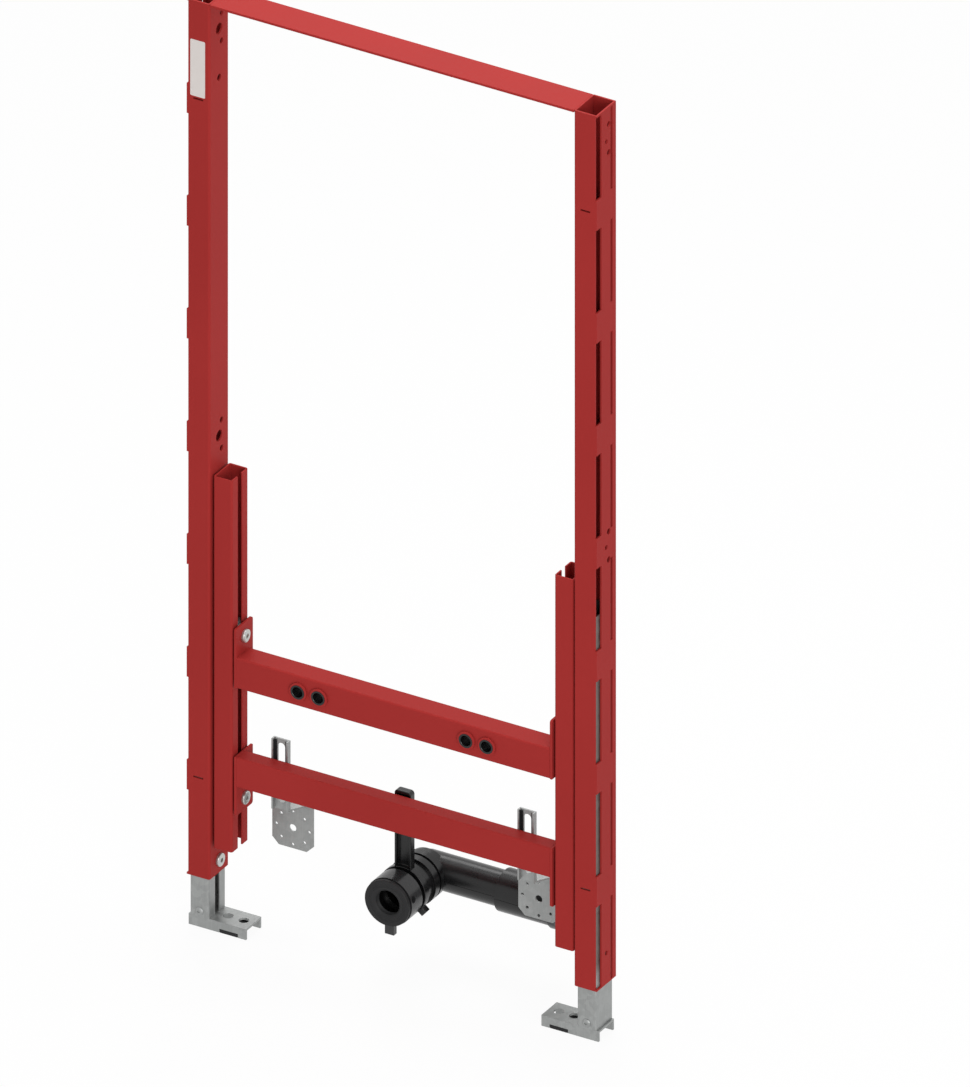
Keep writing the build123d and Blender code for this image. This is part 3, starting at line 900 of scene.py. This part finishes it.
def traverse_welds(traverse):
    """Beads behind and under one beam, at both end plates."""
    low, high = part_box(f"{traverse}_beam")
    bottom, top = low.z + BEAM_WELD_INSET, high.z - BEAM_WELD_INSET
    front, rear = low.y + BEAM_WELD_INSET, high.y - BEAM_WELD_INSET
    shapes = []
    for side, x in ((1, low.x), (-1, high.x)):
        inward = (side, 0, 0)
        shapes.append(weld_bead((x, high.y, bottom), (x, high.y, top), inward, (0, 1, 0)))
        shapes.append(weld_bead((x, front, low.z), (x, rear, low.z), inward, (0, 0, -1)))
    body = f"{traverse}_traverse"
    new_piece(f"{traverse}_welds", shapes, RED, body, BEAD_SMOOTH_BELOW)


traverse_welds("upper")
traverse_welds("lower")

bar_low, bar_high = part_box("top_bar")
bar_front, bar_rear = bar_low.y + BAR_WELD_INSET, bar_high.y - BAR_WELD_INSET
bar_welds = [
    weld_bead((x, bar_front, bar_low.z), (x, bar_rear, bar_low.z), (side, 0, 0), (0, 0, -1))
    for side, x in ((1, bar_low.x), (-1, bar_high.x))
]
new_piece("top_bar_welds", bar_welds, RED, "frame", BEAD_SMOOTH_BELOW)

# %% [markdown]
# ## Blank label
# A white sticker sits near the top of the left post. Nothing is printed on this one. A flat plane
# would float or flicker on the paint, so the label is a thin sheet with round corners and its own
# edge, laid on the front face of the post.

# %% White sticker on the left post
LABEL_WIDTH = 18.0 * MM
LABEL_HEIGHT = 68.0 * MM
LABEL_TOP = 1073.0 * MM
LABEL_SHEET = 0.2 * MM
LABEL_CORNER = 1.5 * MM
LABEL_SHIFT = 0.5 * MM

label_x = middle("left_post").x - LABEL_SHIFT
label_z = LABEL_TOP - LABEL_HEIGHT / 2
label_outline = rounded_outline(LABEL_WIDTH, LABEL_HEIGHT, LABEL_CORNER)
label_rings = [
    [Vector((label_x + x, y, label_z + z)) for x, z in label_outline]
    for y in (post_front_y, post_front_y - LABEL_SHEET)
]
new_piece("blank_label", [skin(label_rings)], VINYL, "frame")

# %% [markdown]
# ## Parting line of the elbow
# The elbow is moulded in two halves that part in the plane of its knee. They leave a fine ridge
# along the pipe and the socket. It is far too small for the solid, so a thin bar follows the side
# of each straight stretch.

# %% Parting ridges
RIDGE_WIDTH = 0.7 * MM
RIDGE_HEIGHT = 0.35 * MM
RIDGE_SINK = 0.2 * MM
OUTLET_AXIS_DEPTH = 79.0 * MM
PIPE_STRETCH = (29.0 * MM, 92.0 * MM, 20.0 * MM)
SOCKET_STRETCH = (92.0 * MM, 157.0 * MM, 24.0 * MM)


def ridge(start_x, end_x, radius, way):
    """Thin bar along the outlet pipe, on its front or its back."""
    y = post_front_y + OUTLET_AXIS_DEPTH + way * radius
    z = middle("drain_seal").z
    root, crest = y - way * RIDGE_SINK, y + way * RIDGE_HEIGHT
    rings = []
    for x in (start_x, end_x):
        rings.append([
            Vector((x, root, z - RIDGE_WIDTH / 2)),
            Vector((x, root, z + RIDGE_WIDTH / 2)),
            Vector((x, crest, z + RIDGE_WIDTH / 4)),
            Vector((x, crest, z - RIDGE_WIDTH / 4)),
        ])
    return skin(rings)


ridges = [ridge(*stretch, way) for stretch in (PIPE_STRETCH, SOCKET_STRETCH) for way in (-1, 1)]
new_piece("elbow_parting_ridges", ridges, PLASTIC, "lower_traverse")

# %% [markdown]
# ## Floor
# The photograph has a white ground without a horizon and almost no shadow. Flooding the scene with
# light would bleach the red, so the floor only looks white: for camera, glossy and transmitted rays
# it is mostly a plain white glow, and the rest of it is a pale diffuse floor that still takes a
# faint shadow.

# %% White ground
FLOOR_SIZE = 60.0
GLOW_SHARE = 0.93
WHITE = (1.0, 1.0, 1.0, 1.0)


def seen_directly(place):
    """One for rays that show the ground itself: from the camera, a reflection or through glass."""
    camera_ray = place.node("ShaderNodeLightPath", out="Is Camera Ray")
    glossy_ray = place.node("ShaderNodeLightPath", out="Is Glossy Ray")
    return camera_ray + glossy_ray + place.node("ShaderNodeLightPath", out="Is Transmission Ray")


def pale_floor():
    material, place = new_finish("pale_floor")
    speckle = noise(place, 3.0)
    white = place.node("ShaderNodeEmission", {}, {"Color": WHITE, "Strength": 1.0})
    pale = mixed(speckle, linear(226, 226, 226), linear(231, 231, 231))
    matt = place.node("ShaderNodeBsdfDiffuse", {}, {"Color": pale})
    glow_share = GLOW_SHARE * seen_directly(place)
    mix = place.node("ShaderNodeMixShader", {}, {0: glow_share, 1: matt, 2: white})
    place.node("ShaderNodeOutputMaterial", {}, {"Surface": mix})
    return material


bpy.ops.mesh.primitive_plane_add(size=FLOOR_SIZE)
floor = bpy.context.object
floor.name = "floor"
floor.data.materials.append(pale_floor())
print("floor of", FLOOR_SIZE, "m, its glow", GLOW_SHARE)

# %% [markdown]
# ## Sky
# The world is white where it is seen and softer where it only lights the object. It is split in the
# same way as the floor, so metal and plastic reflect the white that the camera sees behind them.

# %% Soft sky
SKY_STRENGTH = 0.62

world = bpy.data.worlds.new("soft_sky")
bpy.context.scene.world = world
world.use_nodes = True
world.node_tree.nodes.clear()
sky = Wire(world.node_tree)
direct = seen_directly(sky)
glow = sky.node("ShaderNodeBackground", {}, {"Color": WHITE, "Strength": 1.0})
soft = sky.node("ShaderNodeBackground", {}, {"Color": WHITE, "Strength": SKY_STRENGTH})
shown = sky.node("ShaderNodeMixShader", {}, {0: direct, 1: soft, 2: glow})
sky.node("ShaderNodeOutputWorld", {}, {"Surface": shown})
print("sky strength", SKY_STRENGTH)

# %% [markdown]
# ## Lamps
# In the photograph the front and right faces are alike and the top bar is much brighter than the
# traverses below it, so the lamp that lights the tops hangs not far above the frame. A second one
# behind on the left glances off the bar towards the camera and leaves the insides of the tubes
# dark. A wide lamp from the front right fills both sides. Large lamps keep the shadows soft.

# %% Overhead lamp, glancing lamp and fill
def area_lamp(name, place, target, size, power):
    """Round lamp at a place, turned to a target; its size is in metres and its power in watts."""
    lamp = bpy.data.lights.new(name, "AREA")
    lamp.shape = "DISK"
    lamp.size = size
    lamp.energy = power
    thing = bpy.data.objects.new(name, lamp)
    thing.location = place
    thing.rotation_mode = "QUATERNION"
    thing.rotation_quaternion = (Vector(target) - Vector(place)).to_track_quat("-Z", "Y")
    bpy.context.scene.collection.objects.link(thing)
    print("lamp", name, "of", power, "W")


area_lamp("overhead", (-0.1, 0.3, 2.9), (0, 0, 0.5), size=1.6, power=36.0)
area_lamp("glancing", (-1.3, 2.2, 3.1), (0, 0, 1.0), size=1.5, power=20.0)
area_lamp("fill", (3.85, -3.85, 2.2), (0, 0, 0.5), size=3.0, power=150.0)

# %% [markdown]
# ## Camera
# Upright edges stay exactly upright in the photograph and parallel edges stay parallel, even down
# the slope of the view. No lens does that, so the camera is orthographic. The bushes, post corners
# and bar ends give a view 30.4 degrees to the right and 29.5 degrees down. The frame sits left of
# the middle, so the camera aims at a point to the right of it.

# %% Parallel view from the right
AZIMUTH = math.radians(30.4)
ELEVATION = math.radians(29.5)
DISTANCE = 6.0
PICTURE_HEIGHT = 1143.0 * MM
AIM_RIGHT = 102.6 * MM
AIM_DEPTH = 19.0 * MM
AIM_HEIGHT = 553.0 * MM

aim = Vector((AIM_RIGHT, post_front_y + AIM_DEPTH, AIM_HEIGHT))
back = Vector((
    math.sin(AZIMUTH) * math.cos(ELEVATION),
    -math.cos(AZIMUTH) * math.cos(ELEVATION),
    math.sin(ELEVATION),
))
lens = bpy.data.cameras.new("camera")
lens.type = "ORTHO"
lens.ortho_scale = PICTURE_HEIGHT
camera = bpy.data.objects.new("camera", lens)
camera.location = aim + DISTANCE * back
camera.rotation_mode = "QUATERNION"
camera.rotation_quaternion = (-back).to_track_quat("-Z", "Y")
bpy.context.scene.collection.objects.link(camera)
bpy.context.scene.camera = camera
bpy.context.scene.view_settings.view_transform = "Standard"
print("camera sees", PICTURE_HEIGHT, "m from top to bottom")
